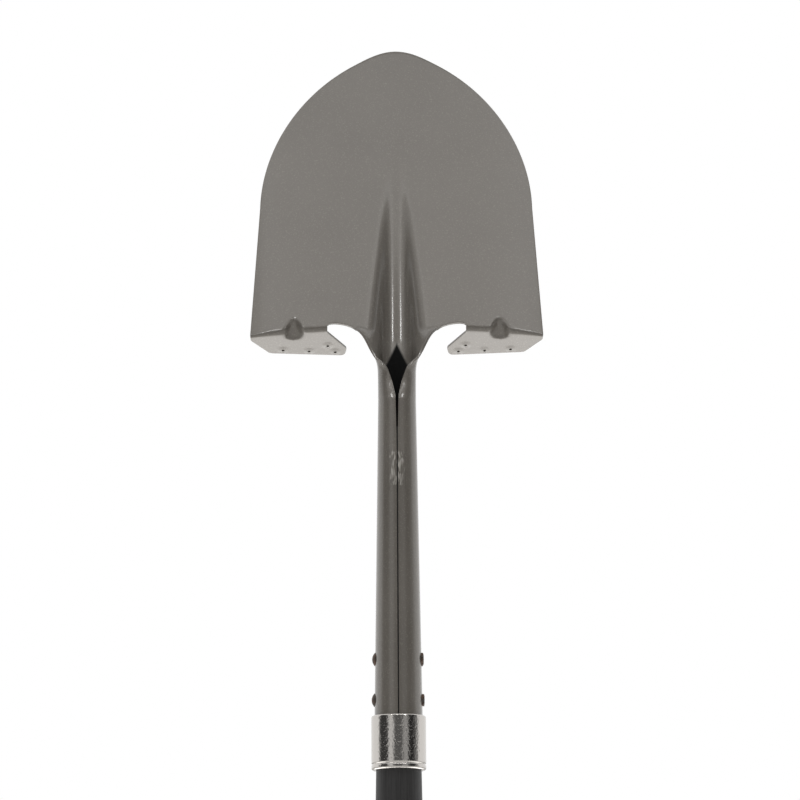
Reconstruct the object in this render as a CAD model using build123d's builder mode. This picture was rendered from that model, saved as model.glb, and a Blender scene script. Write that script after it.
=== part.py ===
"""Round point shovel: a pressed open-back head on a long fibreglass handle.

Millimetres. +Z runs up the handle to the blade, +Y is the digging side, +X is to the right
when the open back is looked at. The origin is the middle of the handle's flat bottom end.
"""

import os
from math import asin, atan, cos, hypot, pi, radians, sin

from build123d import *

os.makedirs("parts", exist_ok=True)

# Whole tool
overall_length = 1473.0  # 58 inches from the handle's end to the tip
collar_to_heel = 341.2  # bottom of the collar up to the heel of the blade

# Blade
sheet = 1.8
lift = 23.0  # degrees that the blade leans to the digging side of the handle
blade_length = 289.3
heel_half_width = 114.5
waist_half_width = 109.0
waist_height = 126.5  # above the heel, where the rounded point starts
point_radius = 181.0
point_turn = radians(54.0)  # swept by the point's side before the nose rounds it off
back_offset = 5.0  # the flat back lies this far behind the socket's centre line
dish_depth = 10.0
dish_power = 2.1
tip_curl = 5.0
tip_curl_start = 150.0
wing_reach = 124.0
blade_sections = 20
neck_sections = 8

# Frog: the ridge that carries the socket up the blade
frog_reach = 189.0
frog_half_width = 27.5
frog_depth = 19.0
frog_width_power = 0.55
frog_depth_power = 1.6

# Neck and socket
neck_radius = 146.0
lip_half_width = 34.5  # half the throat at the heel
lip_power = 1.8
seam_gap = 1.2
throat_trim = 5.5
socket_top_radius = 14.65
socket_end_radius = 18.75
socket_end_height = 6.0  # above the collar's bottom

# Treads: the forward-turned steps
tread_inner = 54.5
tread_toe = 39.2
tread_front = 29.3
tread_front_outer = 100.0
tread_front_fall = 3.4
tread_ear = 9.0
tread_corner = 4.0
bend_radius = 1.4
notch_height = 6.5

# Darts pressed into the tread bends, and the pierced dimples under each tread
dart_offset = 80.5
dart_height = 16.0
dart_half_width = 6.3
dart_shift = 1.0  # how far the dart's ball lies inside the bend's corner
dart_tip_radius = 0.3
dart_reach = 12.0  # half the height of the space that the dart fills inside the bend
dimple_places = ((89.2, 21.4), (68.9, 22.9), (48.4, 23.9), (54.0, 15.7))
dimple_radius = 3.9
dimple_rise = 1.2
dimple_slope = 50.0
dimple_hole = 1.1

# Collar and rivets
collar_length = 41.0
collar_radius = 20.75
collar_edge = 1.4
collar_bead = 0.7
collar_bead_height = 4.0
rivet_heights = {"rivet_lower": 53.0, "rivet_upper": 84.0}  # above the collar's bottom
rivet_shank = 3.2
rivet_head_radius = 5.3
rivet_head_rise = 2.3
rivet_tail_radius = 4.8
rivet_tail_rise = 1.8
fit_gap = 0.03  # left between the socket and what it fits
rivet_seat = 1.5  # how far the head is wrapped down over the round socket

# Handle, grip and cap
handle_radius = 18.5
handle_neck_radius = 17.2
handle_taper = 75.0  # length below the collar over which the handle narrows
handle_wall = 3.4
handle_insert = 262.0  # length of handle above the collar's bottom
core_below = 140.0  # length of the core below the collar's bottom
grip_length = 254.0
grip_radius = 20.6
grip_knob_radius = 21.6  # smooth band at the grip's end, which a rack or a cup takes
grip_knob_top = 80.0
grip_taper = 12.0
grip_lip = 0.8
groove_radius = 2.0
groove_inset = 1.1
groove_pitch = 11.0
groove_count = 13
groove_start = 95.0
cap_thickness = 9.0
cap_plug = 32.0
cap_edge = 2.6

# Derived places
lean = radians(lift)
along = Vector(0, sin(lean), cos(lean))
front = Vector(0, cos(lean), -sin(lean))
heel_y = neck_radius * (1 - cos(lean))
neck_rise = neck_radius * sin(lean)
blade_rise = blade_length * cos(lean)
collar_z = overall_length - blade_rise - collar_to_heel
heel_z = collar_z + collar_to_heel
neck_z = heel_z - neck_rise
socket_end_z = collar_z + socket_end_height
heel = Vector(0, heel_y, heel_z)
face_plane = Plane(origin=heel, x_dir=(1, 0, 0), z_dir=-front)  # local y runs up the blade
socket_slope = (socket_end_radius - socket_top_radius) / (neck_z - socket_end_z)
tube_radius = socket_top_radius - sheet / 2
collar_top_z = collar_z + collar_length
handle_end_z = cap_thickness
handle_top_z = collar_z + handle_insert
taper_z = collar_z - handle_taper
bore_radius = handle_radius - handle_wall
tread_length = heel_half_width - tread_inner
grip_top_z = handle_end_z + grip_length
shoulder = (
    waist_half_width - point_radius * (1 - cos(point_turn)),
    waist_height + point_radius * sin(point_turn),
)
shoulder_run = (-sin(point_turn), cos(point_turn))


def socket_radius(z):
    """Outer radius of the socket at a height."""
    return socket_top_radius + socket_slope * (neck_z - z)


def socket_bore(z):
    """Inner radius of the socket at a height."""
    return socket_radius(z) - sheet


def head_sphere(radius, rise):
    """Radius of the ball that a domed head is cut from."""
    return (radius**2 + rise**2) / (2 * rise)


def blade_plane(s):
    """Plane across the blade at s above the heel: local x is X, local y is the digging side."""
    return Plane(origin=heel + along * s, x_dir=(1, 0, 0), z_dir=along)


def neck_plane(t):
    """Plane across the neck, from the heel at t = 0 to the closed socket at t = 1."""
    turn = lean * (1 - t)
    place = (0, neck_radius * (1 - cos(turn)), neck_z + neck_radius * sin(turn))
    return Plane(origin=place, x_dir=(1, 0, 0), z_dir=(0, sin(turn), cos(turn)))


def blade_point(x, s, y):
    """Point at x across the blade, s above the heel and y to the digging side."""
    return heel + along * s + front * y + Vector(x, 0, 0)


def walk(crest, bends, length):
    """Point and heading reached along a strip that starts at the crest and turns by each bend."""
    x, y, heading = 0.0, crest, 0.0
    for arc, turn in bends:
        part = min(arc, length)
        if turn == 0:
            x += part * cos(heading)
            y -= part * sin(heading)
        else:
            rate = turn / arc
            ahead = heading + rate * part
            x += (sin(ahead) - sin(heading)) / rate
            y -= (cos(heading) - cos(ahead)) / rate
            heading = ahead
        length -= part
        if length <= 0:
            break
    return x, y, heading


def seam_angle(radius):
    """Angle that half the seam takes up on a tube."""
    return asin(seam_gap / 2 / radius)


def tube_bends(radius):
    """Crest height and bends of the closed socket."""
    back = pi / 2 - seam_angle(radius)
    return radius, [(radius * pi / 2, pi / 2), (radius * back, back)]


def frog_bends(s):
    """Crest height and bends of the frog at s above the heel."""
    fade = max(1 - s / frog_reach, 0.0)
    half_width = max(frog_half_width * fade**frog_width_power, 2.0)
    depth = frog_depth * fade**frog_depth_power
    turn = 2 * atan(depth / half_width)
    arc = half_width / 2 if turn == 0 else half_width * turn / (2 * sin(turn))
    return depth - back_offset, [(arc, turn), (arc, -turn)]


def neck_bends(t):
    """Crest height and bends of the neck, closing from the frog's foot to a round tube."""
    crest, ((arc, turn), _) = frog_bends(0)
    quarter = tube_radius * pi / 2
    ease = t * t * (3 - 2 * t)
    trim = throat_trim * sin(pi * t)
    front_arc = arc + (quarter - arc) * ease
    front_turn = turn + (pi / 2 - turn) * ease
    back_arc = arc + (tube_radius * (pi / 2 - seam_angle(tube_radius)) - arc) * ease - trim
    foot = (lip_half_width - frog_half_width) * (1 - t) ** 2
    crest += (tube_radius - crest) * ease
    lip = seam_gap / 2 + (lip_half_width - seam_gap / 2) * (1 - t) ** lip_power
    low, high = -pi / 2, pi / 2
    for _ in range(50):
        back_turn = (low + high) / 2
        bends = [(front_arc, front_turn), (back_arc, back_turn), (foot, 0.0)]
        if walk(crest, bends, front_arc + back_arc + foot)[0] > lip:
            low = back_turn
        else:
            high = back_turn
    return crest, bends


def skin(crest, bends, length, side):
    """Point on the front or back skin of a strip."""
    x, y, heading = walk(crest, bends, length)
    return x + side * sheet / 2 * sin(heading), y + side * sheet / 2 * cos(heading)


def curl(s):
    """How far the blade's point bows to the digging side."""
    return tip_curl * (max(s - tip_curl_start, 0.0) / (blade_length - tip_curl_start)) ** 2


def dish(x):
    """Depth of the dish and its slope at x from the middle."""
    width = heel_half_width - lip_half_width
    out = max(x - lip_half_width, 0.0) / width
    return dish_depth * out**dish_power, dish_depth * dish_power * out ** (dish_power - 1) / width


def strip_skins(crest, bends, steps=24):
    """The front and back skins of a strip, each one smooth curve from lip to lip."""
    half = sum(arc for arc, _ in bends)
    for side in (1, -1):
        right = [skin(crest, bends, half * i / steps, side) for i in range(steps + 1)]
        left = [(-x, y) for x, y in reversed(right[1:])]
        Spline(*left, *right)


def strip_ends(crest, bends):
    """The two cut edges of a strip."""
    half = sum(arc for arc, _ in bends)
    (x0, y0), (x1, y1) = (skin(crest, bends, half, side) for side in (1, -1))
    for hand in (1, -1):
        Line((hand * x0, y0), (hand * x1, y1))


def wing_point(x, side, level):
    """Point on a skin of the dished wing."""
    depth, slope = dish(x)
    reach = side * sheet / 2 / hypot(1, slope)
    return x - slope * reach, level + depth + reach


def wing_skins(level, steps=8):
    """Both skins and the outer edges of the two wings."""
    step = (wing_reach - lip_half_width) / steps
    for hand in (1, -1):
        for side in (1, -1):
            points = [wing_point(lip_half_width + step * i, side, level) for i in range(steps + 1)]
            Spline(*[(hand * x, y) for x, y in points])
        outer = [wing_point(wing_reach, side, level) for side in (1, -1)]
        Line(*[(hand * x, y) for x, y in outer])


def is_tread_corner(edge, level):
    """True for a long curved edge across the blade at a level above the heel."""
    off_level = abs((edge.center() - heel).dot(along) - level)
    return off_level < 0.1 and edge.length > tread_length and edge.geom_type != GeomType.LINE


def dart(foot, tip, extra, inside=None):
    """Ball and cone of a dart, grown by extra, and kept to the inside of the bend if asked."""
    run = tip - foot
    plane = Plane(origin=foot, x_dir=(1, 0, 0), z_dir=run)
    with BuildPart() as shape:
        with Locations(foot):
            Sphere(dart_half_width + extra)
        with BuildSketch(plane):
            Circle(dart_half_width + extra)
        with BuildSketch(plane.offset(run.length)):
            Circle(extra + dart_tip_radius)
        loft()
        if inside:
            with BuildSketch(Plane(origin=inside, x_dir=(1, 0, 0), z_dir=along)):
                Rectangle(3 * dart_reach, 2 * dart_reach)
            extrude(amount=dart_reach, both=True, mode=Mode.INTERSECT)
    return shape.part


# Blade: one pressed sheet with its frog, treads, neck and rolled socket
with BuildPart() as blade:
    # Pressed sheet of the blade, lofted from the heel past the tip
    for i in range(blade_sections + 1):
        s = (blade_length + 6) * i / blade_sections
        crest, bends = frog_bends(s)
        bends.append((lip_half_width - walk(crest, bends, 999)[0], 0.0))
        with BuildSketch(blade_plane(s)):
            with BuildLine():
                strip_skins(crest + curl(s), bends)
                wing_skins(curl(s) - back_offset)
            make_face()
    loft()
    with BuildSketch(face_plane):
        with BuildLine() as half:
            Line((heel_half_width, -1), (waist_half_width, waist_height))
            RadiusArc((waist_half_width, waist_height), shoulder, -point_radius)
            Spline(shoulder, (0, blade_length), tangents=(shoulder_run, (-1, 0)))
            mirror(about=Plane.YZ)
            Line((heel_half_width, -1), (-heel_half_width, -1))
        make_face()
    extrude(amount=120, both=True, mode=Mode.INTERSECT)

    # Throat notches between the treads and the neck
    with BuildSketch(face_plane):
        for hand in (1, -1):
            with BuildLine():
                Polyline(
                    (hand * lip_half_width, 0),
                    (hand * lip_half_width, -3),
                    (hand * tread_inner, -3),
                    (hand * tread_inner, 0),
                )
                ThreePointArc(
                    (hand * tread_inner, 0),
                    (hand * (lip_half_width + tread_inner) / 2, notch_height),
                    (hand * lip_half_width, 0),
                )
            make_face()
    extrude(amount=60, both=True, mode=Mode.SUBTRACT)

    # Treads, folded forward across the heel
    for hand in (1, -1):
        with BuildSketch(blade_plane(0)):
            with BuildLine():
                back = [tread_inner + tread_length * i / 6 for i in range(7)]
                back = [(hand * x, dish(x)[0] - back_offset) for x in back]
                Spline(*back)
                Polyline(
                    back[-1],
                    (hand * heel_half_width, tread_ear),
                    (hand * tread_front_outer, tread_front - tread_front_fall),
                    (hand * (tread_toe + 2), tread_front),
                    (hand * tread_toe, tread_front - 9),
                    back[0],
                )
            make_face()
            front_corners = vertices().sort_by(Axis.Y)[-4:]
            fillet(front_corners, tread_corner)
        extrude(amount=sheet)

    # Neck, closing from the frog to the round socket
    for i in range(neck_sections + 1):
        t = i / neck_sections
        crest, bends = neck_bends(t)
        with BuildSketch(neck_plane(t)):
            with BuildLine():
                strip_skins(crest, bends)
                strip_ends(crest, bends)
            make_face()
    loft()

    # Tapered socket with its open seam
    for place, radius in ((neck_z, socket_top_radius), (socket_end_z, socket_end_radius)):
        crest, bends = tube_bends(radius - sheet / 2)
        with BuildSketch(Plane.XY.offset(place)):
            with BuildLine():
                strip_skins(crest, bends)
                strip_ends(crest, bends)
            make_face()
    loft(ruled=True)

    # Rounded tread bends: the inner corner first, then the outer one behind it
    for level, radius in ((sheet, bend_radius), (0, bend_radius + sheet)):
        corners = blade.edges().filter_by(lambda edge: is_tread_corner(edge, level))
        fillet(corners.sort_by(Axis.Y)[:2], radius)

    # Darts: a rib inside the bend and a teardrop dent outside it
    for hand in (1, -1):
        wall = dish(dart_offset)[0] - back_offset
        foot = blade_point(hand * dart_offset, -dart_shift, wall - sheet / 2 + dart_shift)
        tip = blade_point(hand * dart_offset, dart_height, wall - sheet / 2 - dart_shift)
        inside = blade_point(hand * dart_offset, dart_reach + sheet / 2, wall + dart_reach)
        add(dart(foot, tip, sheet, inside))
        add(dart(foot, tip, 0.0), mode=Mode.SUBTRACT)

    # Pierced dimples that stand out of the undersides of the treads
    with BuildSketch(blade_plane(0)):
        for hand in (1, -1):
            with Locations(*[(hand * x, y) for x, y in dimple_places]):
                Circle(dimple_radius)
    extrude(amount=-dimple_rise, taper=dimple_slope)
    with BuildSketch(blade_plane(-2 * dimple_rise)):
        for hand in (1, -1):
            with Locations(*[(hand * x, y) for x, y in dimple_places]):
                Circle(dimple_hole)
    extrude(amount=3 * dimple_rise + sheet, mode=Mode.SUBTRACT)

    # Rivet holes
    with BuildSketch(Plane.YZ):
        with Locations(*[(0, collar_z + rise) for rise in rivet_heights.values()]):
            Circle(rivet_shank)
    extrude(amount=2 * socket_end_radius, both=True, mode=Mode.SUBTRACT)

blade.part.label = "blade"
export_step(blade.part, "parts/blade.step")

core_top_radius = socket_bore(handle_top_z) - handle_wall

# Handle: a fibreglass tube whose upper end is tapered to fill the socket
with BuildPart() as handle:
    with BuildSketch(Plane.XZ):
        with BuildLine():
            Polyline(
                (bore_radius, handle_end_z),
                (handle_radius, handle_end_z),
                (handle_radius, taper_z),
                (handle_neck_radius, collar_z),
                (handle_neck_radius, socket_end_z),
                (socket_bore(socket_end_z) - fit_gap, socket_end_z),
                (socket_bore(handle_top_z) - fit_gap, handle_top_z),
                (core_top_radius, handle_top_z),
                (handle_neck_radius - handle_wall, collar_z),
                (bore_radius, taper_z),
                close=True,
            )
        make_face()
    revolve(axis=Axis.Z)
    with BuildSketch(Plane.YZ):
        with Locations(*[(0, collar_z + rise) for rise in rivet_heights.values()]):
            Circle(rivet_shank)
    extrude(amount=60, both=True, mode=Mode.SUBTRACT)

handle.part.label = "handle"
export_step(handle.part, "parts/handle.step")

# Core: a hardwood plug that the rivets clamp on
with BuildPart() as handle_core:
    with BuildSketch(Plane.XZ):
        with BuildLine():
            Polyline(
                (0, collar_z - core_below),
                (bore_radius, collar_z - core_below),
                (bore_radius, taper_z),
                (handle_neck_radius - handle_wall, collar_z),
                (core_top_radius, handle_top_z),
                (0, handle_top_z),
                close=True,
            )
        make_face()
    revolve(axis=Axis.Z)
    with BuildSketch(Plane.YZ):
        with Locations(*[(0, collar_z + rise) for rise in rivet_heights.values()]):
            Circle(rivet_shank)
    extrude(amount=60, both=True, mode=Mode.SUBTRACT)

handle_core.part.label = "handle_core"
export_step(handle_core.part, "parts/handle_core.step")

# Collar: a chromed ferrule that closes in on the handle at its lower end
with BuildPart() as collar:
    with BuildSketch(Plane.XZ):
        with BuildLine():
            Polyline(
                (handle_neck_radius, collar_z),
                (collar_radius, collar_z),
                (collar_radius, collar_top_z),
                (socket_radius(collar_top_z) + fit_gap, collar_top_z),
                (socket_radius(socket_end_z) + fit_gap, socket_end_z),
                (handle_neck_radius, socket_end_z),
                close=True,
            )
        make_face()
        outer = vertices().sort_by(Axis.X)[-2:]
        fillet(outer, collar_edge)
    revolve(axis=Axis.Z)
    with BuildSketch(Plane.XZ):
        with Locations((collar_radius, collar_z + collar_bead_height)):
            Circle(collar_bead)
    revolve(axis=Axis.Z, mode=Mode.SUBTRACT)

collar.part.label = "collar"
export_step(collar.part, "parts/collar.step")

# Rivets: domed head on the left, hammered end on the right
for name, rise in rivet_heights.items():
    z = collar_z + rise
    skin_radius = socket_radius(z)
    with BuildPart() as rivet:
        with BuildSketch(Plane.XZ.shift_origin((0, 0, z))):
            with BuildLine():
                Polyline(
                    (-skin_radius - rivet_head_rise, 0),
                    (-skin_radius + rivet_seat, 0),
                    (-skin_radius + rivet_seat, rivet_head_radius),
                    (-skin_radius, rivet_head_radius),
                )
                RadiusArc(
                    (-skin_radius, rivet_head_radius),
                    (-skin_radius - rivet_head_rise, 0),
                    -head_sphere(rivet_head_radius, rivet_head_rise),
                )
            make_face()
            with BuildLine():
                Polyline(
                    (skin_radius + rivet_tail_rise, 0),
                    (skin_radius - rivet_seat, 0),
                    (skin_radius - rivet_seat, rivet_tail_radius),
                    (skin_radius + rivet_tail_rise * 0.4, rivet_tail_radius),
                    (skin_radius + rivet_tail_rise, rivet_tail_radius * 0.7),
                    close=True,
                )
            make_face()
        revolve(axis=Axis((0, 0, z), (1, 0, 0)))
        with BuildSketch(Plane.XY.offset(z - 15)):
            Circle(socket_radius(z - 15))
        with BuildSketch(Plane.XY.offset(z + 15)):
            Circle(socket_radius(z + 15))
        loft(ruled=True, mode=Mode.SUBTRACT)
        with BuildSketch(Plane.YZ.offset(-skin_radius - 0.5)):
            with Locations((0, z)):
                Circle(rivet_shank)
        extrude(amount=2 * skin_radius + 1)
    rivet.part.label = name
    export_step(rivet.part, f"parts/{name}.step")

# Cushion grip over the handle's end
with BuildPart() as end_grip:
    with BuildSketch(Plane.XZ):
        with BuildLine():
            Polyline(
                (handle_radius, handle_end_z),
                (grip_knob_radius, handle_end_z),
                (grip_knob_radius, grip_knob_top),
                (grip_radius, grip_knob_top + grip_lip),
                (grip_radius, grip_top_z - grip_taper),
                (handle_radius + grip_lip, grip_top_z),
                (handle_radius, grip_top_z),
                close=True,
            )
        make_face()
    revolve(axis=Axis.Z)
    with BuildSketch(Plane.XZ):
        grooves = [groove_start + groove_pitch * i for i in range(groove_count)]
        with Locations(*[(grip_radius + groove_inset, height) for height in grooves]):
            Circle(groove_radius)
    revolve(axis=Axis.Z, mode=Mode.SUBTRACT)

end_grip.part.label = "end_grip"
export_step(end_grip.part, "parts/end_grip.step")

# Cap with a plug that closes the tube
with BuildPart() as end_cap:
    with BuildSketch(Plane.XZ):
        with BuildLine():
            Polyline(
                (0, 0),
                (grip_knob_radius, 0),
                (grip_knob_radius, cap_thickness),
                (bore_radius, cap_thickness),
                (bore_radius, cap_thickness + cap_plug),
                (0, cap_thickness + cap_plug),
                close=True,
            )
        make_face()
        fillet(vertices().sort_by(Axis.Y)[:2].sort_by(Axis.X)[-1], cap_edge)
    revolve(axis=Axis.Z)

end_cap.part.label = "end_cap"
export_step(end_cap.part, "parts/end_cap.step")
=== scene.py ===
from math import asin, atan, cos, hypot, pi, radians, sin, sqrt

import bpy
from mathutils import Matrix, Vector


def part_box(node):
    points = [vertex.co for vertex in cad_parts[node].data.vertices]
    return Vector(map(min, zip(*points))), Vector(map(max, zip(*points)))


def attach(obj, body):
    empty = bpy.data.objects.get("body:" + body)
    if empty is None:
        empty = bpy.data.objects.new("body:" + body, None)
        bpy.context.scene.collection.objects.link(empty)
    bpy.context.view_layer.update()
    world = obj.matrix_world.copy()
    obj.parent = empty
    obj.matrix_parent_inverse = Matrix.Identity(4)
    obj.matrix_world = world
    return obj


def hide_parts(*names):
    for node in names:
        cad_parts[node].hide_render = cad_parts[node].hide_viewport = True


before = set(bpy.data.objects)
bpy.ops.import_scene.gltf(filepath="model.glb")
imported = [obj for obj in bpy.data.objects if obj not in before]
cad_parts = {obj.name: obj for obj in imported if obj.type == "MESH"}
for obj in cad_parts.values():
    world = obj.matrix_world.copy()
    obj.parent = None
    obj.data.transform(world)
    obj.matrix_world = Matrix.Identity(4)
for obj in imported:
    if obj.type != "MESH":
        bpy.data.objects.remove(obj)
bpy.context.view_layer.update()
mm = 0.001  # the piece dictionaries are in millimetres
print("frame loaded")

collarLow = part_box("collar")[0]
socketEnd = collarLow.z + 6 * mm  # the socket stops this far above the collar's bottom


def deselectAll():
    if bpy.context.object and bpy.context.object.mode != "OBJECT":
        bpy.ops.object.mode_set(mode="OBJECT")
    bpy.ops.object.select_all(action="DESELECT")


def pick(piece):
    deselectAll()
    piece.select_set(True)
    bpy.context.view_layer.objects.active = piece


def tidyMesh(piece, gap=0.00001):  # merges doubles and turns the faces outwards
    pick(piece)
    bpy.ops.object.mode_set(mode="EDIT")
    bpy.ops.mesh.select_all(action="SELECT")
    bpy.ops.mesh.remove_doubles(threshold=gap)
    bpy.ops.mesh.normals_make_consistent(inside=False)
    bpy.ops.object.mode_set(mode="OBJECT")


def useModifier(piece, kind, **settings):
    pick(piece)
    modifier = piece.modifiers.new(kind.title(), kind)
    for key, value in settings.items():
        setattr(modifier, key, value)
    bpy.ops.object.modifier_apply(modifier=modifier.name)


def finishPiece(piece, name, materialUsed, angle=35.0):
    pick(piece)
    bpy.ops.object.transform_apply(location=True, rotation=True, scale=True)
    bpy.ops.object.shade_smooth_by_angle(angle=radians(angle))
    piece.name = name
    piece.data.name = name
    piece.data.materials.clear()
    piece.data.materials.append(materialUsed)
    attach(piece, "root")


def fromHex(code):
    parts = [int(code[i:i + 2], 16) / 255 for i in (0, 2, 4)]
    return [c / 12.92 if c <= 0.04045 else ((c + 0.055) / 1.055) ** 2.4 for c in parts] + [1.0]


def addNode(tree, kind, inputs=None, **settings):
    made = tree.nodes.new(kind)
    for key, value in settings.items():
        setattr(made, key, value)
    for key, value in (inputs or {}).items():
        if isinstance(value, bpy.types.NodeSocket):
            tree.links.new(value, made.inputs[key])
        else:
            made.inputs[key].default_value = value
    return made


def newMaterial(name):
    made = bpy.data.materials.new(name)
    made.use_nodes = True
    made.node_tree.nodes.clear()
    return made, made.node_tree


def setStops(ramp, *stops):  # a place and a tone for each stop of a colour ramp
    elements = ramp.color_ramp.elements
    while len(elements) < len(stops):
        elements.new(0.5)
    for element, (place, tone) in zip(elements, stops):
        element.position = place
        element.color = fromHex(tone)


def closeMaterial(tree, shader):
    addNode(tree, "ShaderNodeOutputMaterial", {"Surface": shader.outputs[0]})


# both in metres, as the shader nodes are
throatShadow = {  # the pointed edge of the painted shadow in the throat
    "top": collarLow.z + 0.3355, "slope": 2.3, "blur": 0.0022}
pinch = {  # the puckered patch by the seam
    "middle": collarLow.z + 0.229, "half": 0.0195, "reach": 0.0085, "fade": 0.007, "sideFade": 0.003}


def makeEnamel():  # satin warm-grey metallic enamel, sprayed and baked: fine flake, faint orange peel, with a painted shadow in the socket's throat and painted glints on the seam puckers
    made, tree = newMaterial("warmGreyEnamel")
    place = addNode(tree, "ShaderNodeTexCoord").outputs["Object"]
    cloud = addNode(tree, "ShaderNodeTexNoise", {"Vector": place, "Scale": 16.0, "Detail": 3.0})
    flake = addNode(tree, "ShaderNodeTexNoise", {"Vector": place, "Scale": 900.0, "Detail": 1.0})
    peel = addNode(tree, "ShaderNodeTexNoise", {"Vector": place, "Scale": 420.0, "Detail": 2.0})
    dust = addNode(tree, "ShaderNodeTexVoronoi", {"Vector": place, "Scale": 60.0})
    tone = addNode(tree, "ShaderNodeValToRGB", {"Fac": cloud.outputs["Fac"]})
    setStops(tone, (0.3, "6b665f"), (0.75, "736e67"))
    sparkle = addNode(tree, "ShaderNodeMapRange", {
        "Value": flake.outputs["Fac"], "From Min": 0.56, "From Max": 0.72, "To Min": 0.0, "To Max": 0.14})
    flaked = addNode(tree, "ShaderNodeMix", {
        "Factor": sparkle.outputs[0], 6: tone.outputs["Color"], 7: fromHex("b5afa6")}, data_type="RGBA")
    speck = addNode(tree, "ShaderNodeMapRange", {
        "Value": dust.outputs["Distance"], "From Min": 0.03, "From Max": 0.015,
        "To Min": 0.0, "To Max": 0.2})
    dusted = addNode(tree, "ShaderNodeMix", {
        "Factor": speck.outputs[0], 6: flaked.outputs[2], 7: fromHex("c9c5bd")}, data_type="RGBA")
    rough = addNode(tree, "ShaderNodeMapRange", {
        "Value": cloud.outputs["Fac"], "From Min": 0.3, "From Max": 0.7, "To Min": 0.44, "To Max": 0.52})
    peelBump = addNode(tree, "ShaderNodeBump", {
        "Height": peel.outputs["Fac"], "Strength": 0.8, "Distance": 0.00016})

    # where this point lies on the head, and which way it faces
    spot = addNode(tree, "ShaderNodeSeparateXYZ", {"Vector": place})
    facing = addNode(tree, "ShaderNodeSeparateXYZ", {
        "Vector": addNode(tree, "ShaderNodeNewGeometry").outputs["True Normal"]})
    across = addNode(tree, "ShaderNodeMath", {0: spot.outputs["X"]}, operation="ABSOLUTE")
    side = addNode(tree, "ShaderNodeMath", {0: spot.outputs["X"]}, operation="SIGN")
    outward = addNode(tree, "ShaderNodeMath", {
        0: side.outputs[0], 1: facing.outputs["X"]}, operation="MULTIPLY")

    # painted shadow: the inside of the socket, where the lips shade it, is painted near-black, without coat
    # and nearly fully rough
    slope = addNode(tree, "ShaderNodeMath", {
        0: across.outputs[0], 1: throatShadow["slope"], 2: spot.outputs["Z"]}, operation="MULTIPLY_ADD")
    deep = addNode(tree, "ShaderNodeMapRange", {
        "Value": slope.outputs[0],
        "From Min": throatShadow["top"] + throatShadow["blur"], "From Max": throatShadow["top"] - throatShadow["blur"]})
    inner = addNode(tree, "ShaderNodeMapRange", {
        "Value": outward.outputs[0], "From Min": 0.25, "From Max": 0.05})
    backward = addNode(tree, "ShaderNodeMapRange", {
        "Value": facing.outputs["Y"], "From Min": 0.05, "From Max": -0.1})
    inFront = addNode(tree, "ShaderNodeMapRange", {
        "Value": spot.outputs["Y"], "From Min": -0.008, "From Max": -0.006})
    hollow = addNode(tree, "ShaderNodeMath", {
        0: deep.outputs[0], 1: inner.outputs[0]}, operation="MULTIPLY")
    lit = addNode(tree, "ShaderNodeMath", {
        0: backward.outputs[0], 1: inFront.outputs[0]}, operation="MULTIPLY")
    # this mask is the painted shadow in the throat: where it is 1, near-black is painted in and the coat and
    # gloss are taken off
    scale = addNode(tree, "ShaderNodeMath", {
        0: hollow.outputs[0], 1: lit.outputs[0]}, operation="MULTIPLY")
    shadowDarkened = addNode(tree, "ShaderNodeMix", {
        "Factor": scale.outputs[0], 6: dusted.outputs[2], 7: fromHex("050505")}, data_type="RGBA")
    coatOffInShadow = addNode(tree, "ShaderNodeMapRange", {
        "Value": scale.outputs[0], "To Min": 1.0, "To Max": 0.0})
    roughInShadow = addNode(tree, "ShaderNodeMix", {"Factor": scale.outputs[0], 2: rough.outputs[0], 3: 0.95})

    # puckers that the closing tool pinches into both sides of the seam, about 1 mm wide and 5 mm long
    lengthwise = addNode(tree, "ShaderNodeMapping", {"Vector": place, "Scale": (1.0, 1.0, 0.25)})
    pucker = addNode(tree, "ShaderNodeTexNoise", {
        "Vector": lengthwise.outputs[0], "Scale": 480.0, "Detail": 1.0, "Distortion": 0.8})
    climb = addNode(tree, "ShaderNodeMath", {
        0: spot.outputs["Z"], 1: pinch["middle"]}, operation="SUBTRACT")
    farUp = addNode(tree, "ShaderNodeMath", {0: climb.outputs[0]}, operation="ABSOLUTE")
    tall = addNode(tree, "ShaderNodeMapRange", {
        "Value": farUp.outputs[0], "From Min": pinch["half"], "From Max": pinch["half"] - pinch["fade"]})
    wide = addNode(tree, "ShaderNodeMapRange", {
        "Value": across.outputs[0],
        "From Min": pinch["reach"], "From Max": pinch["reach"] - pinch["sideFade"]})
    onBack = addNode(tree, "ShaderNodeMapRange", {
        "Value": spot.outputs["Y"], "From Min": -0.008, "From Max": -0.011})
    patchMask = addNode(tree, "ShaderNodeMath", {
        0: tall.outputs[0], 1: wide.outputs[0]}, operation="MULTIPLY")
    backMask = addNode(tree, "ShaderNodeMath", {
        0: patchMask.outputs[0], 1: onBack.outputs[0]}, operation="MULTIPLY")
    puckers = addNode(tree, "ShaderNodeMath", {
        0: backMask.outputs[0], 1: pucker.outputs["Fac"]}, operation="MULTIPLY")
    pinchBump = addNode(tree, "ShaderNodeBump", {
        "Height": puckers.outputs[0], "Strength": 1.0, "Distance": 0.0011, "Normal": peelBump.outputs[0]})
    # painted highlight: the pucker ridges are painted pale, standing in for the glints they catch from the
    # lamps
    ridgeGlints = addNode(tree, "ShaderNodeMapRange", {
        "Value": puckers.outputs[0], "From Min": 0.5, "From Max": 0.68, "To Min": 0.0, "To Max": 0.6})
    glintedPuckers = addNode(tree, "ShaderNodeMix", {
        "Factor": ridgeGlints.outputs[0], 6: shadowDarkened.outputs[2], 7: fromHex("d2cec6")}, data_type="RGBA")
    shader = addNode(tree, "ShaderNodeBsdfPrincipled", {
        "Base Color": glintedPuckers.outputs[2], "Metallic": 0.4, "Roughness": roughInShadow.outputs[0],
        "Normal": pinchBump.outputs[0], "Coat Weight": coatOffInShadow.outputs[0], "Coat Roughness": 0.16})
    closeMaterial(tree, shader)
    return made


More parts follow.
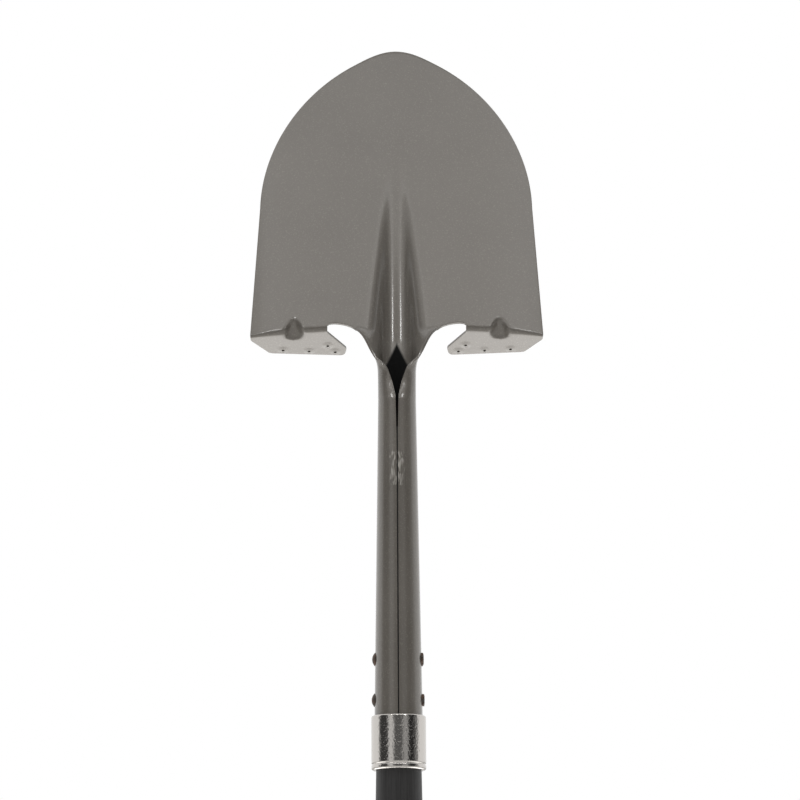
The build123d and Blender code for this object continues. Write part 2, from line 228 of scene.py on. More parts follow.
def makeChrome():  # bright chrome plate on drawn steel: mirror-like, with the faint ripple of the tube
    made, tree = newMaterial("chromePlate")
    place = addNode(tree, "ShaderNodeTexCoord").outputs["Object"]
    ripple = addNode(tree, "ShaderNodeTexNoise", {"Vector": place, "Scale": 560.0, "Detail": 2.0})
    bump = addNode(tree, "ShaderNodeBump", {
        "Height": ripple.outputs["Fac"], "Strength": 1.0, "Distance": 0.0002})
    shader = addNode(tree, "ShaderNodeBsdfPrincipled", {
        "Base Color": fromHex("c9c5c0"), "Metallic": 1.0, "Roughness": 0.09, "Normal": bump.outputs[0]})
    closeMaterial(tree, shader)
    return made


def makeRivetSteel():  # bare mild steel, hammered cold and lightly rusted: dull brown patches on dark grey
    made, tree = newMaterial("hammeredSteel")
    place = addNode(tree, "ShaderNodeTexCoord").outputs["Object"]
    patches = addNode(tree, "ShaderNodeTexNoise", {"Vector": place, "Scale": 260.0, "Detail": 4.0})
    tone = addNode(tree, "ShaderNodeValToRGB", {"Fac": patches.outputs["Fac"]})
    setStops(tone, (0.4, "4b4845"), (0.62, "5d4a3f"))
    bump = addNode(tree, "ShaderNodeBump", {
        "Height": patches.outputs["Fac"], "Strength": 0.5, "Distance": 0.0004})
    shader = addNode(tree, "ShaderNodeBsdfPrincipled", {
        "Base Color": tone.outputs["Color"], "Metallic": 0.75, "Roughness": 0.5, "Normal": bump.outputs[0]})
    closeMaterial(tree, shader)
    return made


def makeFibreglass():  # matte black pultruded fibreglass: fine lengthwise streaks from the roving
    made, tree = newMaterial("pultrudedFibreglass")
    place = addNode(tree, "ShaderNodeTexCoord").outputs["Object"]
    along = addNode(tree, "ShaderNodeMapping", {"Vector": place, "Scale": (1.0, 1.0, 0.02)})
    streak = addNode(tree, "ShaderNodeTexNoise", {
        "Vector": along.outputs[0], "Scale": 1100.0, "Detail": 3.0})
    tone = addNode(tree, "ShaderNodeValToRGB", {"Fac": streak.outputs["Fac"]})
    setStops(tone, (0.35, "232222"), (0.7, "343333"))
    bump = addNode(tree, "ShaderNodeBump", {
        "Height": streak.outputs["Fac"], "Strength": 0.3, "Distance": 0.0001})
    shader = addNode(tree, "ShaderNodeBsdfPrincipled", {
        "Base Color": tone.outputs["Color"], "Roughness": 0.52, "Normal": bump.outputs[0]})
    closeMaterial(tree, shader)
    return made


def makeRubber(name, dark, light):  # moulded rubber: matte, with a fine leathery grain
    made, tree = newMaterial(name)
    place = addNode(tree, "ShaderNodeTexCoord").outputs["Object"]
    grain = addNode(tree, "ShaderNodeTexVoronoi", {"Vector": place, "Scale": 700.0})
    tone = addNode(tree, "ShaderNodeValToRGB", {"Fac": grain.outputs["Distance"]})
    setStops(tone, (0.0, light), (1.0, dark))
    bump = addNode(tree, "ShaderNodeBump", {
        "Height": grain.outputs["Distance"], "Strength": 0.4, "Distance": 0.00015}, invert=True)
    shader = addNode(tree, "ShaderNodeBsdfPrincipled", {
        "Base Color": tone.outputs["Color"], "Roughness": 0.72, "Normal": bump.outputs[0]})
    closeMaterial(tree, shader)
    return made


def makeHardwood():  # turned ash plug: straight open grain along its length
    made, tree = newMaterial("turnedAsh")
    place = addNode(tree, "ShaderNodeTexCoord").outputs["Object"]
    along = addNode(tree, "ShaderNodeMapping", {"Vector": place, "Scale": (1.0, 1.0, 0.06)})
    grain = addNode(tree, "ShaderNodeTexNoise", {"Vector": along.outputs[0], "Scale": 500.0, "Detail": 4.0})
    tone = addNode(tree, "ShaderNodeValToRGB", {"Fac": grain.outputs["Fac"]})
    setStops(tone, (0.0, "8f6b42"), (1.0, "c9a572"))
    shader = addNode(tree, "ShaderNodeBsdfPrincipled", {
        "Base Color": tone.outputs["Color"], "Roughness": 0.6})
    closeMaterial(tree, shader)
    return made


enamel = makeEnamel()
chrome = makeChrome()
rivetSteel = makeRivetSteel()
fibreglass = makeFibreglass()
gripRubber = makeRubber("gripRubber", "161616", "242424")
capRubber = makeRubber("capRubber", "1a1a1a", "282828")
hardwood = makeHardwood()
print("materials made")

blade = {
    "sheet": 1.8, "lift": 23.0, "length": 289.2, "heelAboveCollar": 341.2,
    "heelHalf": 114.2, "waistHalf": 109.0, "waistHeight": 126.5, "pointRadius": 181.0, "pointTurn": 54.0,
    "backOffset": 5.0, "dishDepth": 10.0, "dishPower": 2.1, "tipCurl": 5.0, "curlStart": 150.0,
    "frogReach": 189.0, "frogHalf": 27.5, "frogDepth": 19.0, "frogWidthPower": 0.55, "frogDepthPower": 1.6,
    "neckRadius": 146.0, "lipHalf": 32.3, "lipPower": 1.7, "throatTrim": 5.5,
    "lipSwell": 4.8, "swellAt": 0.46, "swellEnd": 0.62,  # the lips swing wide above the socket
    "throatGap": 2.2, "seamGap": 0.9, "gapEase": 40.0,
    "socketTop": 14.65, "socketEnd": 18.75,
    "sideTurn": 27.0,  # where the side of the blade hands over to its point, in degrees along the arc
}
tread = {
    "inner": 54.0, "toe": 39.2, "front": 29.3, "frontOuter": 100.0, "frontFall": 3.4, "ear": 9.0,
    "corner": 4.5, "bend": 3.4,
    "dartAt": 80.5, "dartHalf": 8.4, "dartHeight": 13.5, "dartShift": 3.0,
    "dimples": ((89.2, 21.4), (68.9, 22.9), (48.4, 23.9), (54.0, 15.7)),
    "dimpleRadius": 4.6, "dimpleRise": 0.85, "dimpleHole": 1.2, "punchLength": 8.0,
    "dartTip": 0.8, "dartBalls": 25, "earTaper": 35.0,
    "dartRoom": 12.0, "dartTop": 24.0,  # only points this near a dart are pressed
    "toeDepth": 9.0, "toeInset": 2.0, "frontInner": 60.0, "frontOuterRun": 90.0, "frontBow": 0.5,
    "notchStart": 36.5, "notchRise": 4.5, "notchInset": 1.5, "notchHeight": 8.2,  # cut beside the frog
}
easing = {  # how far the press rounds the sheet: places in mm, passes of the smoothing
    "half": 46, "fadeAcross": 8, "below": 52, "fadeUp": 20, "passes": 14,
    "dartReach": 15, "dartBelow": 6, "dartAbove": 22, "dartPasses": 3, "edge": 0.35,
}
# how many cells each grid has
cells = {"half": 28, "notch": 12, "wing": 64, "rows": 110, "neck": 40, "socket": 60, "bend": 8, "plate": 40,
         "arc": 20}  # steps along each curve of the blade's outline

lean = radians(blade["lift"])
upBlade = Vector((0, sin(lean), cos(lean)))
toFront = Vector((0, cos(lean), -sin(lean)))
heelZ = collarLow.z / mm + blade["heelAboveCollar"]
heel = Vector((0, blade["neckRadius"] * (1 - cos(lean)), heelZ))
neckZ = heelZ - blade["neckRadius"] * sin(lean)
tubeRadius = blade["socketTop"] - blade["sheet"] / 2
midSheet = blade["sheet"] / 2


def dish(x):
    out = max(abs(x) - blade["lipHalf"], 0) / (blade["heelHalf"] - blade["lipHalf"])
    return blade["dishDepth"] * out ** blade["dishPower"] - blade["backOffset"]


def curl(s):
    return blade["tipCurl"] * (max(s - blade["curlStart"], 0) / (blade["length"] - blade["curlStart"])) ** 2


def frogSize(s):  # half width, depth, radius of its arcs and their turn at s above the heel
    fade = max(1 - s / blade["frogReach"], 0)
    half = max(blade["frogHalf"] * fade ** blade["frogWidthPower"], 2)
    depth = blade["frogDepth"] * fade ** blade["frogDepthPower"]
    turn = 2 * atan(depth / half)
    return half, depth, half / (2 * sin(turn)) if turn else 0, turn


def frog(x, s):
    half, depth, radius, turn = frogSize(s)
    x = abs(x)
    if not turn or x >= half:
        return 0
    if x < half / 2:
        return depth - radius + sqrt(radius ** 2 - x ** 2)
    return radius - sqrt(radius ** 2 - (half - x) ** 2)


def walk(crest, bends, length):  # follows a strip from its crest, turning by each bend
    x, y, heading = 0.0, crest, 0.0
    for arc, turn in bends:
        part = min(arc, length)
        if turn == 0:
            x += part * cos(heading)
            y -= part * sin(heading)
        else:
            rate = turn / arc
            ahead = heading + rate * part
            x += (sin(ahead) - sin(heading)) / rate
            y -= (cos(heading) - cos(ahead)) / rate
            heading = ahead
        length -= part
        if length <= 0:
            break
    return x, y


def seamGap(drop):  # width of the open seam at a drop below the throat
    ease = max(1 - drop / blade["gapEase"], 0) ** 2
    return blade["seamGap"] + (blade["throatGap"] - blade["seamGap"]) * ease


def tubeBends(radius, gap):
    back = pi / 2 - asin(gap / 2 / radius)
    return radius, [(radius * pi / 2, pi / 2), (radius * back, back)]


def neckBends(t):  # the strip from the frog's foot at the heel, t = 0, to the closed tube, t = 1
    half, depth, radius, turn = frogSize(0)
    arc = radius * turn
    ease = t * t * (3 - 2 * t)
    quarter = tubeRadius * pi / 2
    gap = blade["throatGap"]
    closed = tubeRadius * (pi / 2 - asin(gap / 2 / tubeRadius))
    frontArc = arc + (quarter - arc) * ease
    frontTurn = turn + (pi / 2 - turn) * ease
    backArc = arc + (closed - arc) * ease - blade["throatTrim"] * sin(pi * t)
    foot = (blade["lipHalf"] - half) * (1 - t) ** 2
    crest = depth - blade["backOffset"]
    crest += (tubeRadius - crest) * ease
    lip = gap / 2 + (blade["lipHalf"] - gap / 2) * (1 - t) ** blade["lipPower"]
    peak, end = blade["swellAt"], blade["swellEnd"]
    off = (peak - t) / peak if t < peak else min((t - peak) / (end - peak), 1)
    lip += blade["lipSwell"] * cos(pi / 2 * off) ** 2
    low, high, pastEnd = -pi / 2, pi / 2, 999  # longer than any strip
    for _ in range(40):  # halves the range until the lip lies where it should
        backTurn = (low + high) / 2
        bends = [(frontArc, frontTurn), (backArc, backTurn), (foot, 0)]
        if walk(crest, bends, pastEnd)[0] > lip:
            low = backTurn
        else:
            high = backTurn
    return crest, bends


def along(path, share):  # point at a share of a path's length
    spans = [hypot(b[0] - a[0], b[1] - a[1]) for a, b in zip(path, path[1:])]
    left = share * sum(spans)
    for a, b, span in zip(path, path[1:], spans):
        if left <= span or b is path[-1]:
            k = left / span
            return a[0] + (b[0] - a[0]) * k, a[1] + (b[1] - a[1]) * k
        left -= span


def roundPath(points, radius, steps=6):  # a path with its inner corners rounded
    path = [points[0]]
    for before, at, after in zip(points, points[1:], points[2:]):
        a = (Vector(before) - Vector(at)).normalized()
        b = (Vector(after) - Vector(at)).normalized()
        setback = radius * sqrt((1 + a.dot(b)) / (1 - a.dot(b)))
        start, end, mid = Vector(at) + a * setback, Vector(at) + b * setback, Vector(at)
        for i in range(steps + 1):
            k = i / steps
            path.append(tuple(start * (1 - k) ** 2 + mid * 2 * k * (1 - k) + end * k * k))
    return path + [points[-1]]


def bezier(points, k):
    a, b, c, d = (Vector(p) for p in points)
    return tuple(a * (1 - k) ** 3 + b * 3 * k * (1 - k) ** 2 + c * 3 * k * k * (1 - k) + d * k ** 3)


def patch(bottom, top, left, right, i, j):  # blends four edge curves into one even grid
    columns, rows = len(bottom) - 1, len(left) - 1
    u, v = i / columns, j / rows
    point = [0, 0]
    for k in (0, 1):
        corners = (bottom[0][k] * (1 - u) * (1 - v) + bottom[-1][k] * u * (1 - v)
                   + top[0][k] * (1 - u) * v + top[-1][k] * u * v)
        point[k] = (bottom[i][k] * (1 - v) + top[i][k] * v
                    + left[j][k] * (1 - u) + right[j][k] * u - corners)
    return point


def formGrid(columns, rows, shape):  # a flat grid whose points are pressed to a shape
    deselectAll()
    bpy.ops.mesh.primitive_grid_add(x_subdivisions=columns, y_subdivisions=rows, size=1)
    made = bpy.context.object
    for vertex in made.data.vertices:
        i = round((vertex.co.x + 0.5) * columns)
        j = round((vertex.co.y + 0.5) * rows)
        vertex.co = shape(i, j) * mm
    return made


def dart(x, s, y):  # presses the tread bend inwards along a tapering row of balls
    corner = dish(tread["dartAt"]) - midSheet
    off = abs(x) - tread["dartAt"]
    across, depth = (s - (y - corner)) / sqrt(2), (s + (y - corner)) / sqrt(2)
    best = depth
    for i in range(tread["dartBalls"]):
        k = i / (tread["dartBalls"] - 1)
        radius = (tread["dartHalf"] + midSheet) * (1 - k) + tread["dartTip"] * k
        ballS = -tread["dartShift"] + (tread["dartHeight"] + tread["dartShift"]) * k
        ballY = tread["dartShift"] * (1 - k) - k
        ballAcross, ballDepth = (ballS - ballY) / sqrt(2), (ballS + ballY) / sqrt(2)
        room = radius ** 2 - off ** 2 - (across - ballAcross) ** 2
        if room > 0:
            best = max(best, ballDepth + sqrt(room))
    push = (best - depth) / sqrt(2)
    return s + push, y + push


def sheetPoint(x, s, y):
    near = abs(abs(x) - tread["dartAt"]) < tread["dartRoom"] and s < tread["dartTop"]
    s, y = dart(x, s, y) if near else (s, y)
    return heel + upBlade * s + toFront * y + Vector((x, 0, 0))


def bendAt(x):  # the bend's radius, tighter towards the ears
    return tread["bend"] * min(1, 0.35 + (blade["heelHalf"] - abs(x)) / tread["earTaper"])


# columns of the blade's lower edge, from the middle out to the right-hand corner
crest0, bends0 = neckBends(0)
stripHalf = sum(arc for arc, turn in bends0)
lower = [(walk(crest0, bends0, stripHalf * k / cells["half"])[0], 0.0) for k in range(cells["half"] + 1)]
notch = ((blade["lipHalf"], 0.0), (tread["notchStart"], tread["notchRise"]),
         (tread["inner"] - tread["notchInset"], tread["notchHeight"]),
         (tread["inner"], midSheet + bendAt(tread["inner"])))
lower += [bezier(notch, k / cells["notch"]) for k in range(1, cells["notch"] + 1)]
wingStep = (blade["heelHalf"] - tread["inner"]) / cells["wing"]
wingPlaces = [tread["inner"] + wingStep * k for k in range(1, cells["wing"] + 1)]
lower += [(x, midSheet + bendAt(x)) for x in wingPlaces]
lower = [(-x, s) for x, s in reversed(lower[1:])] + lower


def arcPoint(turn):  # on the right-hand side of the rounded point
    radius = blade["pointRadius"]
    return blade["waistHalf"] - radius * (1 - cos(turn)), blade["waistHeight"] + radius * sin(turn)


shoulderTurn, sideTurn = radians(blade["pointTurn"]), radians(blade["sideTurn"])
side = [lower[-1]]
side += [arcPoint(sideTurn * k / cells["arc"]) for k in range(cells["arc"] + 1)]
point = [arcPoint(sideTurn + (shoulderTurn - sideTurn) * k / cells["arc"])
         for k in range(cells["arc"] + 1)]
noseRun = hypot(point[-1][0], blade["length"] - point[-1][1]) / 3
nose = (point[-1],
        (point[-1][0] - noseRun * sin(shoulderTurn), point[-1][1] + noseRun * cos(shoulderTurn)),
        (noseRun, blade["length"]), (0.0, blade["length"]))
point += [bezier(nose, k / cells["arc"]) for k in range(1, cells["arc"] + 1)]
rightSide = [along(side, j / cells["rows"]) for j in range(cells["rows"] + 1)]
leftSide = [(-x, s) for x, s in rightSide]
halfColumns = (len(lower) - 1) // 2
upper = [along(point, 1 - i / halfColumns) for i in range(halfColumns + 1)]
upper = [(-x, s) for x, s in reversed(upper[1:])] + upper


def faceShape(i, j):
    x, s = patch(lower, upper, leftSide, rightSide, i, j)
    return sheetPoint(x, s, dish(x) + frog(x, s) + curl(s))


def stripShape(i, j):  # the neck, then the socket, from the heel down
    side = i - cells["half"]
    share = abs(side) / cells["half"]
    if j <= cells["neck"]:
        t = j / cells["neck"]
        crest, bends = neckBends(t)
        turn = lean * (1 - t)
        place = Vector((0, blade["neckRadius"] * (1 - cos(turn)),
                        neckZ + blade["neckRadius"] * sin(turn)))
        forward = Vector((0, cos(turn), -sin(turn)))
    else:
        k = ((j - cells["neck"]) / cells["socket"]) ** 1.3
        drop = (neckZ - socketEnd / mm) * k
        radius = tubeRadius + (blade["socketEnd"] - blade["socketTop"]) * k
        crest, bends = tubeBends(radius, seamGap(drop))
        place, forward = Vector((0, 0, neckZ - drop)), Vector((0, 1, 0))
    x, y = walk(crest, bends, share * sum(arc for arc, turn in bends))
    return place + forward * y + Vector((x if side > 0 else -x, 0, 0))


outerFront = tread["front"] - tread["frontFall"]
treadEnd = roundPath([(tread["inner"], 0.0), (tread["toe"], tread["front"] - tread["toeDepth"]),
                      (tread["toe"] + tread["toeInset"], tread["front"]),
                      (tread["frontInner"], tread["front"] - tread["frontBow"])], tread["corner"])
treadEar = roundPath([(blade["heelHalf"], 0.0), (blade["heelHalf"], tread["ear"]),
                      (tread["frontOuter"], outerFront),
                      (tread["frontOuterRun"], outerFront + tread["frontBow"])], tread["corner"])


def treadShape(hand):
    plateStart = [(x, dish(x) + bendAt(x)) for x, s in lower[-cells["wing"] - 1:]]
    inner = [plateStart[0]] + treadEnd[1:-4]
    ear = [plateStart[-1]] + treadEar[1:-4]
    edge = treadEnd[-5:-1] + [(tread["frontOuter"] - 3, outerFront + 0.3)] + treadEar[-5:-4]
    front = [along(edge, i / cells["wing"]) for i in range(cells["wing"] + 1)]
    left = [along(inner, j / cells["plate"]) for j in range(cells["plate"] + 1)]
    right = [along(ear, j / cells["plate"]) for j in range(cells["plate"] + 1)]

    def shape(i, j):
        i = i if hand > 0 else cells["wing"] - i
        if j <= cells["bend"]:
            turn = pi / 2 * j / cells["bend"]
            x = plateStart[i][0]
            s = midSheet + bendAt(x) * (1 - sin(turn))
            y = dish(x) + bendAt(x) * (1 - cos(turn))
        else:
            x, y = patch(plateStart, front, left, right, i, j - cells["bend"])
            s = midSheet
            for dotX, dotY in tread["dimples"]:
                away = min(hypot(x - dotX, y - dotY) / tread["dimpleRadius"], 1)
                s -= tread["dimpleRise"] * (1 - away ** 2) ** 1.5
        return sheetPoint(hand * x, s, y)
    return shape


face = formGrid(len(lower) - 1, cells["rows"], faceShape)
strip = formGrid(2 * cells["half"], cells["neck"] + cells["socket"], stripShape)
treads = [formGrid(cells["wing"], cells["bend"] + cells["plate"], treadShape(hand)) for hand in (1, -1)]
deselectAll()
for grid in [strip] + treads + [face]:
    grid.select_set(True)
bpy.context.view_layer.objects.active = face
bpy.ops.object.join()
tidyMesh(face, 0.00002)

# the press leaves no hard lines, so the frog, heel and darts are eased, but the cut edges keep their line
pick(face)
bpy.ops.object.mode_set(mode="EDIT")
bpy.ops.mesh.select_mode(type="VERT")
bpy.ops.mesh.select_all(action="DESELECT")
bpy.ops.mesh.select_non_manifold(extend=False, use_wire=False, use_multi_face=False,
                                 use_non_contiguous=False, use_verts=False)
bpy.ops.object.mode_set(mode="OBJECT")
eased = face.vertex_groups.new(name="eased")
darts = face.vertex_groups.new(name="darts")
for vertex in face.data.vertices:
    if vertex.select:
        continue
    away = vertex.co / mm - heel
    x, s = abs(away.x), away.dot(upBlade)
    if x < easing["half"] and s > -easing["below"]:
        weight = min(1, (easing["half"] - x) / easing["fadeAcross"],
                     (s + easing["below"]) / easing["fadeUp"])
        eased.add([vertex.index], weight, "REPLACE")
    if abs(x - tread["dartAt"]) < easing["dartReach"] and -easing["dartBelow"] < s < easing["dartAbove"]:
        darts.add([vertex.index], 1, "REPLACE")
useModifier(face, "SMOOTH", factor=0.5, iterations=easing["passes"], vertex_group="eased")
useModifier(face, "SMOOTH", factor=0.5, iterations=easing["dartPasses"], vertex_group="darts")
useModifier(face, "SOLIDIFY", thickness=blade["sheet"] * mm, offset=0, use_even_offset=True)
useModifier(face, "BEVEL", width=easing["edge"] * mm, segments=2, limit_method="ANGLE",
            angle_limit=radians(60))
print("sheet pressed:", len(face.data.polygons), "faces")

for hand in (1, -1):
    for dotX, dotY in tread["dimples"]:
        deselectAll()
        bpy.ops.mesh.primitive_cylinder_add(vertices=20, radius=tread["dimpleHole"] * mm,
                                            depth=tread["punchLength"] * mm)
        punch = bpy.context.object
        punch.data.transform(Matrix.Translation((heel + upBlade * 0.5 + toFront * dotY
                                                 + Vector((hand * dotX, 0, 0))) * mm)
                             @ Matrix.Rotation(-lean, 4, "X"))
        useModifier(face, "BOOLEAN", object=punch, operation="DIFFERENCE", solver="EXACT")
        bpy.data.objects.remove(punch)
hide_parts("blade")
finishPiece(face, "pressedHead", enamel, 40)
print("head made:", len(face.data.polygons), "faces")


def spinPiece(outline, steps=96):  # a closed outline of (radius, height), turned round the handle's line
    deselectAll()
    bpy.ops.mesh.primitive_circle_add(vertices=len(outline), radius=1)
    made = bpy.context.object
    for vertex, (radius, height) in zip(made.data.vertices, outline):
        vertex.co = (radius * mm, 0, height * mm)
    bpy.ops.object.mode_set(mode="EDIT")
    bpy.ops.mesh.select_all(action="SELECT")
    bpy.ops.mesh.spin(steps=steps, angle=2 * pi, center=(0, 0, 0), axis=(0, 0, 1))
    bpy.ops.object.mode_set(mode="OBJECT")
    tidyMesh(made)
    return made


def fillet(radius, height, size, fromTurn, toTurn, steps=5):  # a rounded edge, round its own centre
    turns = [radians(fromTurn + (toTurn - fromTurn) * i / steps) for i in range(steps + 1)]
    return [(radius + size * cos(turn), height + size * sin(turn)) for turn in turns]


collar = {"radius": 20.75, "length": 41.0, "edge": 1.5, "neck": 17.2, "step": 6.0,
          "beadAt": 4.2, "bead": 0.7}


def socketRadius(z):  # outside radius of the tapered socket at a height
    slope = (blade["socketEnd"] - blade["socketTop"]) / (neckZ - socketEnd / mm)
    return blade["socketTop"] + slope * (neckZ - z)


def makeCollar():
    low = collarLow.z / mm
    top = low + collar["length"]
    mouth = socketRadius(top)
    edge, radius = collar["edge"], collar["radius"]
    outline = [(collar["neck"], low)]
    outline += fillet(radius - edge, low + edge, edge, -90, 0)
    outline += [(radius, low + collar["beadAt"] - collar["bead"] - 0.3)]
    outline += fillet(radius + 0.15, low + collar["beadAt"], collar["bead"], 240, 120)
    outline += [(radius, low + collar["beadAt"] + collar["bead"] + rise) for rise in (0.3, 0.8)]
    outline += [(radius, top - edge - 0.6)]
    outline += fillet(radius - edge, top - edge, edge, 0, 90)
    outline += [(mouth + 0.5, top), (mouth, top - 0.5), (blade["socketEnd"], low + collar["step"]),
                (collar["neck"], low + collar["step"])]
    made = spinPiece(outline, 128)
    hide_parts("collar")
    finishPiece(made, "chromeCollar", chrome)


makeCollar()
print("collar made")
handle = {"radius": 18.5, "neck": 17.2, "taper": 75.0, "wall": 3.4, "fitGap": 0.03}


def makeHandle():
    lowEnd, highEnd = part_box("handle")
    low, top, collarZ = lowEnd.z / mm, highEnd.z / mm, collarLow.z / mm
    bore = [socketRadius(z) - blade["sheet"] - handle["fitGap"] for z in (socketEnd / mm, top)]
    wall, radius, neck = handle["wall"], handle["radius"], handle["neck"]
    outline = [(radius - wall, low), (radius - 0.4, low), (radius, low + 0.4)]
    outline += [(radius, collarZ - handle["taper"] - 6), (radius - 0.08, collarZ - handle["taper"] + 4)]
    outline += [(neck, collarZ), (neck, socketEnd / mm), (bore[0], socketEnd / mm), (bore[1], top)]
    outline += [(bore[1] - wall, top), (neck - wall, collarZ), (radius - wall, collarZ - handle["taper"])]
    made = spinPiece(outline, 96)
    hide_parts("handle")
    finishPiece(made, "fibreglassHandle", fibreglass)


makeHandle()
print("handle made")
grip = {"knob": 21.6, "radius": 20.6, "knobTop": 80.0, "taper": 12.0, "lip": 0.8,
        "grooveStart": 95.0, "groovePitch": 11.0, "grooves": 13, "grooveHalf": 1.7, "grooveDepth": 0.9}


def makeGrip():
    low, high = (corner.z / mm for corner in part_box("end_grip"))
    knob, radius = grip["knob"], grip["radius"]
    outline = [(handle["radius"], low), (knob - 0.5, low), (knob, low + 0.5), (knob, grip["knobTop"] - 1.2)]
    outline += fillet(knob - 1.2, grip["knobTop"] - 1.2, 1.2, 0, 60, 3)[1:]
    outline += [(radius + 0.1, grip["knobTop"] + 0.6), (radius, grip["knobTop"] + 1.6)]
    for i in range(grip["grooves"]):
        at = grip["grooveStart"] + grip["groovePitch"] * i
        for k in range(9):
            shift = grip["grooveHalf"] * (k / 4 - 1)
            dip = grip["grooveDepth"] * cos(pi / 2 * (k / 4 - 1)) ** 2
            outline.append((radius - dip, at + shift))
    outline += [(radius, high - grip["taper"]), (handle["radius"] + grip["lip"] + 0.4, high - 1)]
    outline += [(handle["radius"] + grip["lip"], high), (handle["radius"], high)]
    made = spinPiece(outline, 96)
    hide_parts("end_grip")
    finishPiece(made, "cushionGrip", gripRubber, 40)


makeGrip()
cap = {"edge": 2.6, "rim": 0.5, "recess": 0.6, "recessRadius": 15.0}


def makeCap():
    low, high = (corner.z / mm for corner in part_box("end_cap"))
    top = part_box("end_grip")[0].z / mm
    radius, bore = grip["knob"], handle["radius"] - handle["wall"]
    outline = [(0, low + cap["recess"]), (cap["recessRadius"] - 1, low + cap["recess"]),
               (cap["recessRadius"], low)]
    outline += fillet(radius - cap["edge"], low + cap["edge"], cap["edge"], -90, 0)
    outline += [(radius, top - cap["rim"]), (radius - cap["rim"], top), (bore, top), (bore, high - 1.5),
                (bore - 1.5, high), (0, high)]
    made = spinPiece(outline, 96)
    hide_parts("end_cap")
    finishPiece(made, "endCap", capRubber, 40)


makeCap()
print("grip and cap made")
rivet = {"shank": 3.2, "head": 5.3, "headRise": 2.3, "tail": 4.8, "tailRise": 1.8,
         "seat": 1.4}  # how far down over the round socket the head is wrapped


def makeRivet(node, seed):
    low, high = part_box(node)
    z = (low.z + high.z) / 2 / mm
    left, right = low.x / mm, high.x / mm
    ball = (rivet["head"] ** 2 + rivet["headRise"] ** 2) / (2 * rivet["headRise"])
    reach = asin(rivet["head"] / ball)
    shank, head, tail = rivet["shank"], rivet["head"], rivet["tail"]
    headSeat = left + rivet["headRise"] + rivet["seat"]
    tailSeat = right - rivet["tailRise"] - rivet["seat"]
    outline = [(0, left)]
    outline += [(ball * sin(reach * k / 8), left + ball * (1 - cos(reach * k / 8))) for k in range(1, 9)]
    outline += [(head, headSeat), (shank, headSeat), (shank, tailSeat), (tail, tailSeat)]
    outline += [(tail, right - 1.1), (tail * 0.9, right - 0.4), (tail * 0.6, right - 0.1),
                (tail * 0.45, right - 0.3), (0, right)]
    made = spinPiece(outline, 40)
    for vertex in made.data.vertices:  # the hammered end is a little uneven
        x, y, height = vertex.co / mm
        if height > right - rivet["tailRise"] - 0.2 and hypot(x, y) > 0.5:
            swell = 1 + 0.07 * sin(3 * height + seed + 2 * x) + 0.05 * sin(2.3 * y + seed)
            x, y = x * swell, y * swell
        vertex.co = Vector((height, y, z + x)) * mm
    tidyMesh(made)
    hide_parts(node)
    finishPiece(made, node.replace("rivet_", "steelRivet"), rivetSteel, 40)


for number, nodeName in enumerate(("rivet_upper", "rivet_lower")):
    makeRivet(nodeName, 2.1 * number)
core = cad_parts["handle_core"]
core.data.materials.clear()
core.data.materials.append(hardwood)
print("rivets made, core finished")

studio = {  # flats and cards stood across the camera's side, mirrored by the chrome: (from, to, grey)
    "panels": ((0.0, 0.12, "444444"), (0.18, 0.28, "dddddd"), (0.35, 0.6, "666666"),
               (0.68, 0.8, "aaaaaa"), (0.85, 0.95, "333333"), (1.0, 1.0, "999999")),
    "turnFrom": -0.12, "turnTo": 0.1,  # plain white beyond this, behind the shovel
    "floor": 60,
}
deselectAll()
bpy.ops.mesh.primitive_plane_add(size=studio["floor"], location=(0, 0, 0))
floor = bpy.context.object
floor.name = "studioFloor"
floorPaint, floorTree = newMaterial("whiteSweep")
closeMaterial(floorTree, addNode(floorTree, "ShaderNodeBsdfPrincipled", {
    "Base Color": fromHex("f2f1ef"), "Roughness": 0.8}))
floor.data.materials.append(floorPaint)

world = bpy.data.worlds.new("studio")
bpy.context.scene.world = world
world.use_nodes = True
world.node_tree.nodes.clear()
way = addNode(world.node_tree, "ShaderNodeTexCoord")
parts = addNode(world.node_tree, "ShaderNodeSeparateXYZ", {"Vector": way.outputs["Generated"]})
across = addNode(world.node_tree, "ShaderNodeMapRange", {
    "Value": parts.outputs["X"], "From Min": -1.0, "From Max": 1.0})
room = addNode(world.node_tree, "ShaderNodeValToRGB", {"Fac": across.outputs[0]})
stops = [(place, grey) for start, end, grey in studio["panels"] for place in (start, end)]
setStops(room, *stops)
behind = addNode(world.node_tree, "ShaderNodeMapRange", {
    "Value": parts.outputs["Y"], "From Min": studio["turnFrom"], "From Max": studio["turnTo"]})
glow = addNode(world.node_tree, "ShaderNodeMix", {
    "Factor": behind.outputs[0], 6: room.outputs["Color"], 7: (1.0, 1.0, 1.0, 1.0)}, data_type="RGBA")
sky = addNode(world.node_tree, "ShaderNodeBackground", {"Color": glow.outputs[2], "Strength": 1.0})
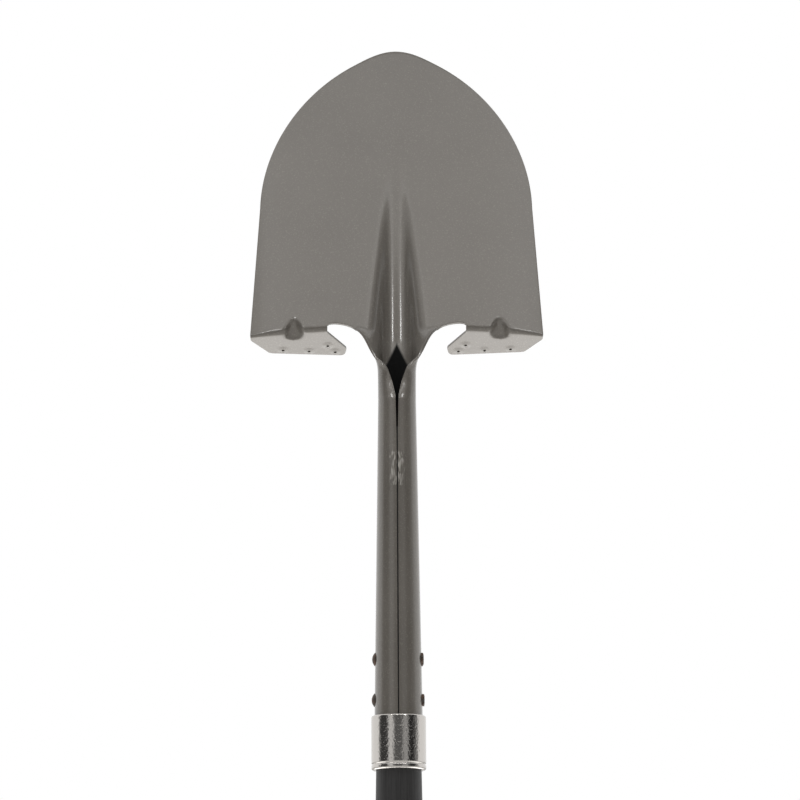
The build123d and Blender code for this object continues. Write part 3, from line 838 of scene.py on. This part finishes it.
addNode(world.node_tree, "ShaderNodeOutputWorld", {"Surface": sky.outputs[0]})

lights = {
    "overhead": {"at": (0.1, -1.35, 3.9), "size": (3.0, 1.7), "power": 18.5, "aim": (0, 0.05, 1.3)},
    "bounce": {"at": (0.0, 0.8, 0.03), "size": (2.4, 1.8), "power": 25.0, "aim": (0, 0.8, 1.25)},
    "frontStrip": {"at": (0.0, -2.3, 2.85), "size": (2.0, 0.07), "power": 3.5, "aim": (0, 0.0, 1.25)},
    "leftBox": {"at": (-1.0, -1.6, 2.75), "size": (0.2, 0.3), "power": 4.6, "aim": (0, 0.0, 1.25)},
    "rightBox": {"at": (1.0, -1.6, 2.75), "size": (0.2, 0.3), "power": 4.6, "aim": (0, 0.0, 1.25)},
}
for name, light in lights.items():
    deselectAll()
    bpy.ops.object.light_add(type="AREA", location=light["at"])
    lamp = bpy.context.object
    lamp.name = name
    lamp.data.shape = "RECTANGLE"
    lamp.data.size, lamp.data.size_y = light["size"]
    lamp.data.energy = light["power"]
    lamp.visible_camera = False
    lamp.rotation_euler = (Vector(light["aim"]) - Vector(light["at"])).to_track_quat("-Z", "Y").to_euler()

camera = {"distance": 2490.0, "pitch": 12.0, "lens": 144.0, "sensor": 36.0,
          "belowHeel": 55.0, "aside": 2.3, "roll": -0.3}  # aimed this far below and to the right of the heel
view = Vector((0, cos(radians(camera["pitch"])), sin(radians(camera["pitch"]))))
viewUp = Vector((0, -sin(radians(camera["pitch"])), cos(radians(camera["pitch"]))))
target = heel - toFront * blade["backOffset"]
eye = target - view * camera["distance"] - viewUp * camera["belowHeel"] + Vector((camera["aside"], 0, 0))
deselectAll()
bpy.ops.object.camera_add(location=eye * mm)
shot = bpy.context.object
shot.data.lens = camera["lens"]
shot.data.sensor_width = camera["sensor"]
shot.data.clip_end = 100
shot.rotation_euler = (Matrix.Rotation(radians(90 + camera["pitch"]), 3, "X")
                       @ Matrix.Rotation(radians(camera["roll"]), 3, "Z")).to_euler()
bpy.context.scene.camera = shot
bpy.context.scene.view_settings.view_transform = "Standard"
print("studio set")
